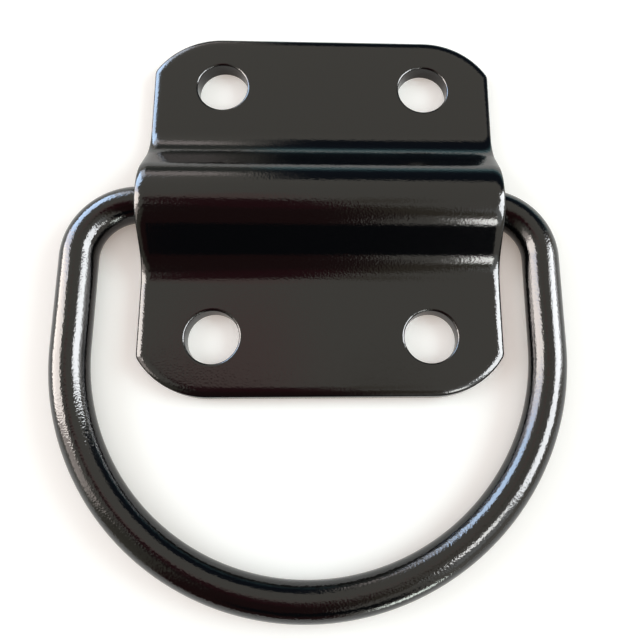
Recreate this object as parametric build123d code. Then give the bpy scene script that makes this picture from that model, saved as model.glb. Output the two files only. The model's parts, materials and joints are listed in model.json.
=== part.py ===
from build123d import *
import os
from math import cos, radians, sin, tan

# A bolt-on D ring tie down: a pressed steel saddle plate that is bolted down through
# four holes, and a D ring of round bar whose straight side turns under the saddle.
# Origin: the middle of the four holes, on the face that meets the mounting surface.
# +Z points away from that surface, X runs along the bar, and the ring lies towards -Y.
# Every length is in millimetres.

# Bolt holes and the plate around them
hole_diameter = 13.5        # clears an M12 bolt
hole_pitch_x = 55.0
hole_pitch_y = 70.0
side_margin = 18.5          # from a hole's middle to the side edge
end_margin = 15.0           # from a hole's middle to the end edge
sheet = 4.5                 # thickness of the pressed sheet
corner_cut = 18.0           # how far each corner's round reaches along the end edge
corner_drop = 10.2          # how far it reaches down the side edge
corner_soft = 2.0           # small round where it meets the side edge
edge_round = 0.7            # rolled-over rim on top
edge_break = 0.4            # broken edge of the rim at the back, and of the holes on top

# D ring
bar_diameter = 9.5
leg_room = 8.4              # from the plate's side to each leg, with the ring centred
bend_inset = 1.3            # how far inside the saddle's ends the two bends begin
ring_inside_length = 87.4   # from the straight side to the far end of the curve
ring_offset = -2.35         # where the loose ring lies along the saddle

# Saddle over the bar
bar_headroom = 0.98         # between the top of the bar and the inside of the crest
bar_side_room = 3.95        # between the bar and the crest's round, to each side
wall_slope = 42.0           # of the saddle's two straight walls, in degrees
foot_round = 12.3           # hollow round on top, where a wall meets a flange

plate_width = hole_pitch_x + 2 * side_margin
plate_length = hole_pitch_y + 2 * end_margin
bar_radius = bar_diameter / 2


def saddle_line(above):
    """The plate's side view, at a height above its underside, as seven edges end to end."""
    crest_radius = bar_radius + bar_side_room
    crest_z = bar_diameter + bar_headroom - crest_radius
    foot_radius = foot_round + sheet
    turn = radians(wall_slope)
    wall_rise = crest_z + crest_radius * cos(turn) - foot_radius * (1 - cos(turn))
    foot_y = (crest_radius + foot_radius) * sin(turn) + wall_rise / tan(turn)
    over_crest, over_foot = crest_radius + above, foot_radius - above
    wall_low = (foot_y - over_foot * sin(turn), foot_radius - over_foot * cos(turn))
    wall_high = (over_crest * sin(turn), crest_z + over_crest * cos(turn))
    half = [(foot_y + plate_length, above), (foot_y, above), wall_low, wall_high]
    points = [(-y, z) for y, z in half] + half[::-1]
    first = Line(points[0], points[1])
    foot = TangentArc(points[1], points[2], tangent=first % 1)
    wall = Line(points[2], points[3])
    crest = TangentArc(points[3], points[4], tangent=wall % 1)
    far_wall = Line(points[4], points[5])
    far_foot = TangentArc(points[5], points[6], tangent=far_wall % 1)
    last = Line(points[6], points[7])
    return [first, foot, wall, crest, far_wall, far_foot, last]


def plate_outline():
    """The plate seen from above: straight edges and four big corner rounds."""
    side, end = plate_width / 2, plate_length / 2
    tip, meet = side - corner_cut, end - corner_drop
    edges = [Line((-tip, y), (tip, y)) for y in (-end, end)]
    edges += [Line((x, -meet), (x, meet)) for x in (-side, side)]
    for x in (-1, 1):
        for y in (-1, 1):
            edges.append(TangentArc((x * tip, y * end), (x * side, y * meet), tangent=(x, 0)))
    outline = make_face(edges)
    meets = outline.vertices().filter_by(lambda v: abs(abs(v.X) - side) < corner_soft / 2)
    return fillet(meets, corner_soft)


def rim_edges(plate, facing):
    """The edges where the sheet's cut sides meet its top (facing 1) or its back (facing -1)."""
    sides = plate.faces().filter_by(lambda face: abs(face.normal_at().Z) < 0.01).edges()
    skin = plate.faces().filter_by(lambda face: facing * face.normal_at().Z > 0.3).edges()
    return skin.filter_by(lambda edge: any(edge.is_same(side) for side in sides))


def make_saddle_plate():
    under, over = saddle_line(0), saddle_line(sheet)
    ends = [Line(under[0] @ 0, over[0] @ 0), Line(under[-1] @ 1, over[-1] @ 1)]
    section = Plane.YZ * make_face(under + over + ends)
    tall = 2 * (bar_diameter + bar_headroom + sheet)
    plate = extrude(section, plate_width, both=True)
    plate &= extrude(plate_outline(), tall, both=True)
    plate = fillet(rim_edges(plate, 1), edge_round)
    plate = chamfer(rim_edges(plate, -1), edge_break)
    holes = GridLocations(hole_pitch_x, hole_pitch_y, 2, 2)
    plate -= holes * Cylinder(hole_diameter / 2, tall)
    hole_rims = plate.edges().filter_by(GeomType.CIRCLE).filter_by(lambda edge: edge.is_closed)
    return chamfer(hole_rims.group_by(Axis.Z)[-1], edge_break)


def ring_line():
    """Centre line of the bent bar: straight side, bends, legs and one half circle."""
    leg_x = plate_width / 2 + leg_room + bar_radius
    bar_x = plate_width / 2 - bend_inset
    bend_y = -(leg_x - bar_x)
    curve_y = leg_x - (ring_inside_length + bar_diameter)
    bar = Line((bar_x, 0), (-bar_x, 0))
    bend = TangentArc((-bar_x, 0), (-leg_x, bend_y), tangent=bar % 1)
    leg = Line((-leg_x, bend_y), (-leg_x, curve_y))
    curve = TangentArc((-leg_x, curve_y), (leg_x, curve_y), tangent=leg % 1)
    far_leg = Line((leg_x, curve_y), (leg_x, bend_y))
    far_bend = TangentArc((leg_x, bend_y), (bar_x, 0), tangent=far_leg % 1)
    return Wire([bar, bend, leg, curve, far_leg, far_bend])


def make_d_ring():
    path = ring_line()
    section = Plane(path @ 0, z_dir=path % 0) * Circle(bar_radius)
    return Pos(ring_offset, 0, bar_radius) * sweep(section, path)


os.makedirs("parts", exist_ok=True)
for name, piece in {"saddle_plate": make_saddle_plate(), "d_ring": make_d_ring()}.items():
    export_step(piece, f"parts/{name}.step")
    print(name, round(piece.volume), piece.is_valid, piece.bounding_box())
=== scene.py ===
import json
import math

import bmesh
import bpy
from mathutils import Matrix, Vector


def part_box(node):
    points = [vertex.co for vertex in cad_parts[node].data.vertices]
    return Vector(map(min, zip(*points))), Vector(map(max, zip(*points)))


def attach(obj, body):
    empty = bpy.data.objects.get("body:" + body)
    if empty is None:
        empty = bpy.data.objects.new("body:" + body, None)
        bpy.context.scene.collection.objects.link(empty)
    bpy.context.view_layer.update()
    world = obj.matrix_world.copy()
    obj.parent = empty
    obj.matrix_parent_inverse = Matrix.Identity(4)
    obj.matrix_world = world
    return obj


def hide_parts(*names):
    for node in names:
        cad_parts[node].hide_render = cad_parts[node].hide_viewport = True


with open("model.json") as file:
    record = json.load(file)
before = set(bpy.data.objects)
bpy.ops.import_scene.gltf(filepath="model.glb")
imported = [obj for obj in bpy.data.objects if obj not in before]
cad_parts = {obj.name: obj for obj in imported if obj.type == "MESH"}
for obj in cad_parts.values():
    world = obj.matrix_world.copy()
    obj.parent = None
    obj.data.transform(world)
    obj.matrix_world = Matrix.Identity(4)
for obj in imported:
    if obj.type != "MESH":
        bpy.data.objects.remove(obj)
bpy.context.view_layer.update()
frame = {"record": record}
mm = 0.001
weld = 0.001 * mm        # vertices closer than this are one
print("frame loaded")

boltHoles = next(m for m in frame["record"]["mounts"] if m["name"] == "bolt_holes")["dims"]
plateLow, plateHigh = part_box("saddle_plate")
ringLow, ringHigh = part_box("d_ring")
barRadius = (ringHigh.z - ringLow.z) / 2
sharpAngle = math.radians(40)    # edges that turn more than this stay crisp


# small steps shared by both pieces

def vertsOf(geometry):
    return [g for g in geometry if isinstance(g, bmesh.types.BMVert)]


def edgesOf(geometry, verts):
    inside = set(verts)
    return [g for g in geometry if isinstance(g, bmesh.types.BMEdge) and inside.issuperset(g.verts)]


def runVert(bm, vert, step):
    made = bmesh.ops.extrude_vert_indiv(bm, verts=[vert])["verts"]
    bmesh.ops.translate(bm, verts=made, vec=step)
    return made[0]


def runLoop(bm, loop, step):
    made = bmesh.ops.extrude_edge_only(bm, edges=loop)["geom"]
    verts = vertsOf(made)
    bmesh.ops.translate(bm, verts=verts, vec=step)
    return edgesOf(made, verts)


def turnVert(bm, vert, centre, angle, steps):
    made = bmesh.ops.spin(bm, geom=[vert], cent=centre, axis=(0, 0, -1), angle=angle, steps=steps)
    return vertsOf(made["geom_last"])[0]


def turnLoop(bm, loop, centre, angle, steps):
    made = bmesh.ops.spin(bm, geom=loop, cent=centre, axis=(0, 0, 1), angle=angle, steps=steps)["geom_last"]
    return [g for g in made if isinstance(g, bmesh.types.BMEdge)]


def newTree(name):
    material = bpy.data.materials.new(name)
    material.use_nodes = True
    return material, material.node_tree


def toPiece(bm, name, material):
    bmesh.ops.remove_doubles(bm, verts=bm.verts, dist=weld)
    bmesh.ops.recalc_face_normals(bm, faces=bm.faces)
    mesh = bpy.data.meshes.new(name)
    bm.to_mesh(mesh)
    bm.free()
    mesh.shade_smooth()
    mesh.set_sharp_from_angle(angle=sharpAngle)
    mesh.materials.append(material)
    piece = bpy.data.objects.new(name, mesh)
    bpy.context.scene.collection.objects.link(piece)
    return piece


# the pressed plate: a flat blank with rims and holes, which is then folded over the bar

plate = {
    "sheet": 4.5 * mm,
    "cornerCut": 18 * mm,        # reach of a corner's big round along the end edge
    "cornerDrop": 10.2 * mm,     # and down the side edge
    "cornerSoft": 2.8 * mm,      # small round where it meets the side edge
    "rimReach": 2.6 * mm,        # the cut edge's roll on top is a quarter of an ellipse
    "rimDrop": 0.8 * mm,
    "backBreak": 0.4 * mm,
    "holeReach": 0.7 * mm,       # the holes' edges are rolled the same way
    "holeDrop": 0.5 * mm,
    "keep": 0.15 * mm,           # flat strip beside rims and bends, so that the big faces shade flat
    "headroom": 0.98 * mm,       # over the bar, inside the crest
    "sideRoom": 3.95 * mm,       # between the bar and the crest's round
    "wallSlope": math.radians(42),
    "footRound": 12.3 * mm,      # hollow round on top, where a wall meets a flange
    "cornerSteps": 28,
    "softSteps": 6,
    "rimSteps": 12,
    "backSteps": 2,
    "holeRimSteps": 6,
    "bendSteps": 30,
    "holeSteps": 72,
}


# arcs and lengths of the fold, from its top down one side, along the underside and the sheet's middle
def foldShape():
    turn = plate["wallSlope"]
    crest = barRadius + plate["sideRoom"]
    crestZ = 2 * barRadius + plate["headroom"] - crest
    foot = plate["footRound"] + plate["sheet"]
    wall = (crestZ + crest * math.cos(turn) - foot * (1 - math.cos(turn))) / math.sin(turn)
    half = plate["sheet"] / 2
    crestRun = (crest + half) * turn
    footRun = (foot - half) * turn
    return {"turn": turn, "crest": crest, "crestZ": crestZ, "foot": foot,
            "crestRun": crestRun, "footRun": footRun, "start": crestRun + wall + footRun,
            "footY": (crest + foot) * math.sin(turn) + wall * math.cos(turn)}


fold = foldShape()


# where a point of the flat blank goes: its distance from the middle and its height above the underside
def pressed(along, height):
    s = abs(along)
    turn, over, under = fold["turn"], fold["crest"] + height, fold["foot"] - height
    if s >= fold["start"]:
        y, z = s - fold["start"] + fold["footY"], height
    elif s > fold["start"] - fold["footRun"]:
        angle = turn * (fold["start"] - s) / fold["footRun"]
        y, z = fold["footY"] - under * math.sin(angle), fold["foot"] - under * math.cos(angle)
    else:
        angle = turn * min(s / fold["crestRun"], 1)
        down = max(s - fold["crestRun"], 0)
        y = over * math.sin(angle) + down * math.cos(angle)
        z = fold["crestZ"] + over * math.cos(angle) - down * math.sin(angle)
    return math.copysign(y, along), z


def cutBlank(bm):
    side = plateHigh.x
    end = plateHigh.y - fold["footY"] + fold["start"]
    cut, drop, soft = plate["cornerCut"], plate["cornerDrop"], plate["cornerSoft"]
    radius = (cut ** 2 + drop ** 2) / (2 * drop)
    angle = math.asin((cut - soft) / (radius - soft))
    softY = end - radius + (radius - soft) * math.cos(angle)
    middle = bm.verts.new((0, end, 0))
    tip = runVert(bm, middle, (side - cut, 0, 0))
    bend = turnVert(bm, tip, (side - cut, end - radius, 0), angle, plate["cornerSteps"])
    meet = turnVert(bm, bend, (side - soft, softY, 0), math.pi / 2 - angle, plate["softSteps"])
    runVert(bm, meet, (0, -meet.co.y, 0))
    for axis in "XY":
        bmesh.ops.mirror(bm, geom=bm.verts[:] + bm.edges[:], axis=axis, merge_dist=weld)
    bmesh.ops.remove_doubles(bm, verts=bm.verts, dist=weld)
    return bmesh.ops.contextual_create(bm, geom=bm.edges[:])["faces"][0]


def roundRim(bm, face, reach, drop, steps, way):
    for i in range(steps):
        a, b = (math.pi / 2 * k / steps for k in (i, i + 1))
        inset = reach * (math.cos(a) - math.cos(b))
        rise = drop * (math.sin(b) - math.sin(a))
        bmesh.ops.inset_region(bm, faces=[face], thickness=inset, use_boundary=True, use_even_offset=True)
        bmesh.ops.translate(bm, verts=face.verts, vec=(0, 0, way * rise))
    bmesh.ops.inset_region(bm, faces=[face], thickness=plate["keep"], use_boundary=True, use_even_offset=True)


# rows of edges across the blank, close together where it bends
def cutBends(bm):
    keep = plate["keep"]
    wallEnd = fold["start"] - fold["footRun"]
    shares = [k / plate["bendSteps"] for k in range(plate["bendSteps"] + 1)]
    cuts = {fold["crestRun"] * share for share in shares}
    cuts |= {wallEnd + fold["footRun"] * share for share in shares}
    cuts |= {fold["crestRun"] + keep, wallEnd - keep, fold["start"] + keep}
    for cut in sorted({way * cut for cut in cuts for way in (-1, 1)}):
        bmesh.ops.bisect_plane(bm, geom=bm.verts[:] + bm.edges[:] + bm.faces[:], dist=weld / 10,
                               plane_co=(0, cut, 0), plane_no=(0, 1, 0))


def stepRing(bm, loop, centre, radius, height):
    made = bmesh.ops.extrude_edge_only(bm, edges=loop)["geom"]
    verts = vertsOf(made)
    for v in verts:
        out = (v.co - centre) * Vector((1, 1, 0))
        v.co = centre + out.normalized() * radius + Vector((0, 0, height))
    return edgesOf(made, verts)


# the flange's one big face, at the top or the back, is filled again round two circles
def openCap(bm, y, height, radius):
    flat = [f for f in bm.faces if abs(f.calc_center_median().z - height) < weld]
    cap = max((f for f in flat if f.calc_center_median().y * y > 0), key=lambda f: f.calc_area())
    border = list(cap.edges)
    bmesh.ops.delete(bm, geom=[cap], context="FACES_ONLY")
    loops = {}
    for x in (-1, 1):
        place = Matrix.Translation((x * boltHoles["spacing_x_mm"] / 2 * mm, y, height))
        made = bmesh.ops.create_circle(bm, radius=radius, segments=plate["holeSteps"], matrix=place)
        loops[x] = list({e for v in made["verts"] for e in v.link_edges})
    bmesh.ops.triangle_fill(bm, edges=border + loops[-1] + loops[1], use_beauty=True)
    return loops


def punchHoles(bm, y):
    radius, reach, drop = boltHoles["hole_r_mm"] * mm, plate["holeReach"], plate["holeDrop"]
    lows = openCap(bm, y, 0, radius + plate["keep"])
    highs = openCap(bm, y, plate["sheet"], radius + reach + plate["keep"])
    for x in (-1, 1):
        centre = Vector((x * boltHoles["spacing_x_mm"] / 2 * mm, y, 0))
        low = stepRing(bm, lows[x], centre, radius, 0)
        high = highs[x]
        for k in range(plate["holeRimSteps"] + 1):
            angle = math.pi / 2 * k / plate["holeRimSteps"]
            out, down = reach * (1 - math.sin(angle)), drop * (1 - math.cos(angle))
            high = stepRing(bm, high, centre, radius + out, plate["sheet"] - down)
        bmesh.ops.bridge_loops(bm, edges=low + high)


def makePlate():
    bm = bmesh.new()
    base = cutBlank(bm)
    bmesh.ops.translate(bm, verts=bm.verts, vec=(0, 0, plate["backBreak"]))
    made = bmesh.ops.extrude_face_region(bm, geom=[base])["geom"]
    top = next(g for g in made if isinstance(g, bmesh.types.BMFace))
    rise = plate["sheet"] - plate["backBreak"] - plate["rimDrop"]
    bmesh.ops.translate(bm, verts=top.verts, vec=(0, 0, rise))
    roundRim(bm, top, plate["rimReach"], plate["rimDrop"], plate["rimSteps"], 1)
    roundRim(bm, base, plate["backBreak"], plate["backBreak"], plate["backSteps"], -1)
    cutBends(bm)
    for way in (-1, 1):
        punchHoles(bm, way * (boltHoles["spacing_y_mm"] / 2 * mm + fold["start"] - fold["footY"]))
    for v in bm.verts:
        v.co.y, v.co.z = pressed(v.co.y, v.co.z)
    return bm


# the ring: a circle run along the bar, round the bends and round the far curve

ring = {
    "bendInset": 1.3 * mm,       # how far inside the plate's sides the bends begin
    "round": 64,
    "bendSteps": 30,
    "curveSteps": 150,
}


def makeRing():
    leg = (ringHigh.x - ringLow.x) / 2 - barRadius
    barX = plateHigh.x - ring["bendInset"]
    bend = leg - barX
    curveY = ringLow.y + barRadius + leg
    quarter = math.pi / 2
    bm = bmesh.new()
    start = Matrix.Translation((barX, 0, barRadius)) @ Matrix.Rotation(quarter, 4, "Y")
    bmesh.ops.create_circle(bm, radius=barRadius, segments=ring["round"], matrix=start)
    loop = runLoop(bm, bm.edges[:], (-2 * barX, 0, 0))
    loop = turnLoop(bm, loop, (-barX, -bend, 0), quarter, ring["bendSteps"])
    loop = runLoop(bm, loop, (0, curveY + bend, 0))
    loop = turnLoop(bm, loop, (0, curveY, 0), 2 * quarter, ring["curveSteps"])
    loop = runLoop(bm, loop, (0, -curveY - bend, 0))
    turnLoop(bm, loop, (barX, -bend, 0), quarter, ring["bendSteps"])
    bmesh.ops.translate(bm, verts=bm.verts, vec=((ringLow.x + ringHigh.x) / 2, 0, 0))
    return bm


# powder coat: glossy black with an orange peel, which is rougher on the ring

coatColour = (0.0014, 0.0014, 0.0015, 1)
coats = {
    "plateCoat": {"roughness": 0.1, "peelSize": 0.5 * mm, "peelHeight": 0.03 * mm},
    "ringCoat": {"roughness": 0.1, "peelSize": 0.5 * mm, "peelHeight": 0.046 * mm},
}


def powderCoat(name):
    coat = coats[name]
    material, tree = newTree(name)
    shader = tree.nodes["Principled BSDF"]
    shader.inputs["Base Color"].default_value = coatColour
    shader.inputs["Roughness"].default_value = coat["roughness"]
    shader.inputs["IOR"].default_value = 1.5
    place = tree.nodes.new("ShaderNodeTexCoord")
    peel = tree.nodes.new("ShaderNodeTexNoise")
    peel.inputs["Scale"].default_value = 1 / coat["peelSize"]
    peel.inputs["Detail"].default_value = 1.0
    bump = tree.nodes.new("ShaderNodeBump")
    bump.inputs["Strength"].default_value = 1.0
    bump.inputs["Distance"].default_value = coat["peelHeight"]
    tree.links.new(place.outputs["Object"], peel.inputs["Vector"])
    tree.links.new(peel.outputs["Fac"], bump.inputs["Height"])
    tree.links.new(bump.outputs["Normal"], shader.inputs["Normal"])
    return material


pressedPlate = toPiece(makePlate(), "pressedPlate", powderCoat("plateCoat"))
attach(pressedPlate, "saddle")
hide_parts("saddle_plate")
print("plate made", len(pressedPlate.data.polygons))
bentRing = toPiece(makeRing(), "bentRing", powderCoat("ringCoat"))
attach(bentRing, "ring")
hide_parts("d_ring")
print("ring made", len(bentRing.data.polygons))


# studio: a white table under plain light, and a room of cards that only reflections see

studio = {
    "tableSize": 6.0,
    "tableDrop": 0.05 * mm,
    "tableColour": (0.92, 0.95, 0.94, 1),
    "tableGlow": (0.19, 0.15, 0.12, 1),      # keeps its shadows pale and warm
    "plainLight": (0.80, 0.74, 0.73, 1),     # from all sides, beside the lamps
    "lampDistance": 1.2,
    "ceiling": (1.05, 1.0, 0.89, 1),         # what reflections see where there is no card
    "backdrop": (1, 1, 1, 1),
    "cardDistance": 1.5,
    "cardSteps": 12,
}

# each card covers a range of angles from +Z and of azimuths from +X towards +Y, in degrees,
# as seen from the origin, or from another point in millimetres
cards = {
    "brightRight": {"angle": (30, 62), "azimuth": (-29, 2), "colour": (20, 20.5, 21)},
    "brightRightTop": {"angle": (34, 69), "azimuth": (2, 26), "colour": (22, 22.5, 23)},
    "brightRightEnd": {"angle": (69, 82), "azimuth": (2, 20), "colour": (5, 5, 5)},
    "brightLeft": {"angle": (37, 84), "azimuth": (160, 187), "colour": (18, 16.5, 15.5)},
    "brightLeftSouth": {"angle": (42, 76), "azimuth": (187, 206), "colour": (4.4, 3.9, 3.6)},
    "brightLeftNorth": {"angle": (42, 84), "azimuth": (150, 160), "colour": (12, 12, 13.5)},
    "brightBlue": {"angle": (50, 78), "azimuth": (122, 150), "colour": (10, 13, 17.5)},
    "brightWing": {"angle": (58, 79), "azimuth": (112, 124), "colour": (5.5, 5.9, 6.7)},
    "brightWingEnd": {"angle": (60, 70), "azimuth": (101, 112), "colour": (2.8, 2.5, 2.4)},
    "lampLow": {"angle": (79, 89.9), "azimuth": (-75, -59), "colour": (12, 13, 12)},
    "lampNear": {"angle": (41, 54), "azimuth": (-77, -60), "colour": (18, 18, 17.5), "distance": 0.17,
                 "from": (45, -8, 13)},
    "darkFront": {"angle": (2, 89.5), "azimuth": (-131, -84), "colour": (0.14, 0.05, 0.05)},
    "darkTop": {"angle": (0.5, 19), "azimuth": (-197, -86), "colour": (0.24, 0.05, 0.07),
                "distance": 1.42},
    "warmTop": {"angle": (6.5, 17.5), "azimuth": (112, 163), "colour": (1.15, 0.84, 0.77)},
    "darkShoulder": {"angle": (18, 34), "azimuth": (-152, -131), "colour": (0.14, 0.06, 0.06)},
    "darkCore": {"angle": (53, 72), "azimuth": (-112, -66), "colour": (0.015, 0.02, 0.03),
                 "distance": 1.4},
    "paleFront": {"angle": (24, 64), "azimuth": (-56, -30), "colour": (1.9, 1.95, 1.9)},
    "brownFront": {"angle": (12, 34), "azimuth": (-79, -58), "colour": (0.47, 0.4, 0.3)},
    "darkFrontEdge": {"angle": (12, 42), "azimuth": (-84, -79), "colour": (0.22, 0.15, 0.13)},
    "brownTop": {"angle": (0.5, 8), "azimuth": (-60, 60), "colour": (0.7, 0.62, 0.5),
                 "distance": 1.45},
    "greyLeft": {"angle": (30, 89.5), "azimuth": (-151, -131), "colour": (0.5, 0.47, 0.38)},
    "darkBack": {"angle": (50, 78), "azimuth": (32, 97), "colour": (0.04, 0.06, 0.1)},
    "tealBackTop": {"angle": (78, 84), "azimuth": (32, 97), "colour": (0.14, 0.3, 0.35)},
    "tealBack": {"angle": (84, 89.9), "azimuth": (32, 97), "colour": (0.62, 1.02, 1.08)},
    "darkBackSide": {"angle": (71, 88), "azimuth": (97, 112), "colour": (0.28, 0.3, 0.27)},
}

# soft lamps, each with the share of full white that it adds to a white table
lamps = {
    "lampRight": {"angle": 55, "azimuth": 8, "share": (0.2, 0.26, 0.27), "size": 0.7},
    "lampLeft": {"angle": 58, "azimuth": 170, "share": (0.13, 0.15, 0.16), "size": 0.7},
}


def rayShares(tree):
    rays = tree.nodes.new("ShaderNodeLightPath")
    mirrored = tree.nodes.new("ShaderNodeMath")
    mirrored.operation = "MAXIMUM"
    tree.links.new(rays.outputs["Is Glossy Ray"], mirrored.inputs[0])
    tree.links.new(rays.outputs["Is Transmission Ray"], mirrored.inputs[1])
    return mirrored.outputs[0], rays.outputs["Is Camera Ray"]


def addBackground(tree, colour):
    light = tree.nodes.new("ShaderNodeBackground")
    light.inputs["Color"].default_value = colour
    return light.outputs[0]


def mixBy(tree, share, low, high):
    mix = tree.nodes.new("ShaderNodeMixShader")
    tree.links.new(share, mix.inputs["Fac"])
    tree.links.new(low, mix.inputs[1])
    tree.links.new(high, mix.inputs[2])
    return mix.outputs[0]


def makeWorld():
    world = bpy.data.worlds.new("studio")
    bpy.context.scene.world = world
    world.use_nodes = True
    tree = world.node_tree
    tree.nodes.remove(tree.nodes["Background"])
    mirrored, seen = rayShares(tree)
    lit = addBackground(tree, studio["plainLight"])
    lit = mixBy(tree, mirrored, lit, addBackground(tree, studio["ceiling"]))
    lit = mixBy(tree, seen, lit, addBackground(tree, studio["backdrop"]))
    tree.links.new(lit, tree.nodes["World Output"].inputs["Surface"])


def makeTable():
    bpy.ops.mesh.primitive_plane_add(size=studio["tableSize"], location=(0, 0, -studio["tableDrop"]))
    table = bpy.context.object
    table.name = "table"
    material, tree = newTree("tableTop")
    shader = tree.nodes["Principled BSDF"]
    shader.inputs["Roughness"].default_value = 1
    shader.inputs["Base Color"].default_value = studio["tableColour"]
    shader.inputs["Specular IOR Level"].default_value = 0
    shader.inputs["Emission Color"].default_value = studio["tableGlow"]
    shader.inputs["Emission Strength"].default_value = 1
    table.data.materials.append(material)


def direction(angle, azimuth):
    a, b = math.radians(angle), math.radians(azimuth)
    return Vector((math.sin(a) * math.cos(b), math.sin(a) * math.sin(b), math.cos(a)))


def addCard(name, card):
    bm = bmesh.new()
    steps = studio["cardSteps"]
    bmesh.ops.create_grid(bm, x_segments=steps, y_segments=steps, size=0.5)
    start = Vector(card.get("from", (0, 0, 0))) * mm
    for v in bm.verts:
        angle, azimuth = (low + (share + 0.5) * (high - low)
                          for share, (low, high) in zip(v.co, (card["angle"], card["azimuth"])))
        v.co = start + direction(angle, azimuth) * card.get("distance", studio["cardDistance"])
    mesh = bpy.data.meshes.new(name)
    bm.to_mesh(mesh)
    bm.free()
    material, tree = newTree(name)
    tree.nodes.remove(tree.nodes["Principled BSDF"])
    glow = tree.nodes.new("ShaderNodeEmission")
    strength = max(*card["colour"], 1)
    glow.inputs["Color"].default_value = (*(c / strength for c in card["colour"]), 1)
    glow.inputs["Strength"].default_value = strength
    tree.links.new(glow.outputs[0], tree.nodes["Material Output"].inputs["Surface"])
    mesh.materials.append(material)
    obj = bpy.data.objects.new(name, mesh)
    bpy.context.scene.collection.objects.link(obj)
    for kind in ("camera", "diffuse", "shadow", "transmission", "volume_scatter"):
        setattr(obj, "visible_" + kind, False)


def addLamp(name, lamp):
    light = bpy.data.lights.new(name, "AREA")
    light.shape = "DISK"
    light.size = lamp["size"]
    share = max(lamp["share"])
    light.color = [c / share for c in lamp["share"]]
    light.energy = share * (math.pi * studio["lampDistance"]) ** 2 / math.cos(math.radians(lamp["angle"]))
    obj = bpy.data.objects.new(name, light)
    towards = direction(lamp["angle"], lamp["azimuth"])
    turn = towards.to_track_quat("Z", "Y").to_matrix()
    obj.matrix_world = Matrix.Translation(towards * studio["lampDistance"]) @ turn.to_4x4()
    obj.visible_glossy = False
    bpy.context.scene.collection.objects.link(obj)


makeWorld()
makeTable()
for name, lamp in lamps.items():
    addLamp(name, lamp)
for name, card in cards.items():
    addCard(name, card)
print("studio set")


# camera at the photograph's place: focal length and image centre in pixels, place in millimetres

photo = {
    "frame": 640,
    "focal": 652.77,
    "centreX": 365.0,
    "centreY": 320.0,
    "sensor": 36,
    "nearest": 10 * mm,
    "place": (3.361, -69.073, 164.882),
    "right": (0.998988, -0.011224, 0.04355),
    "up": (0.000776, 0.972518, 0.232826),
    "back": (-0.044967, -0.232557, 0.971543),
}


def makeCamera():
    data = bpy.data.cameras.new("photoView")
    data.sensor_width = photo["sensor"]
    data.lens = photo["focal"] / photo["frame"] * photo["sensor"]
    data.shift_x = 0.5 - photo["centreX"] / photo["frame"]
    data.shift_y = photo["centreY"] / photo["frame"] - 0.5
    data.clip_start = photo["nearest"]
    camera = bpy.data.objects.new("photoView", data)
    bpy.context.scene.collection.objects.link(camera)
    turn = Matrix((photo["right"], photo["up"], photo["back"])).transposed()
    camera.matrix_world = Matrix.Translation(Vector(photo["place"]) * mm) @ turn.to_4x4()
    bpy.context.scene.camera = camera


makeCamera()
bpy.context.scene.view_settings.view_transform = "Standard"
print("camera set")
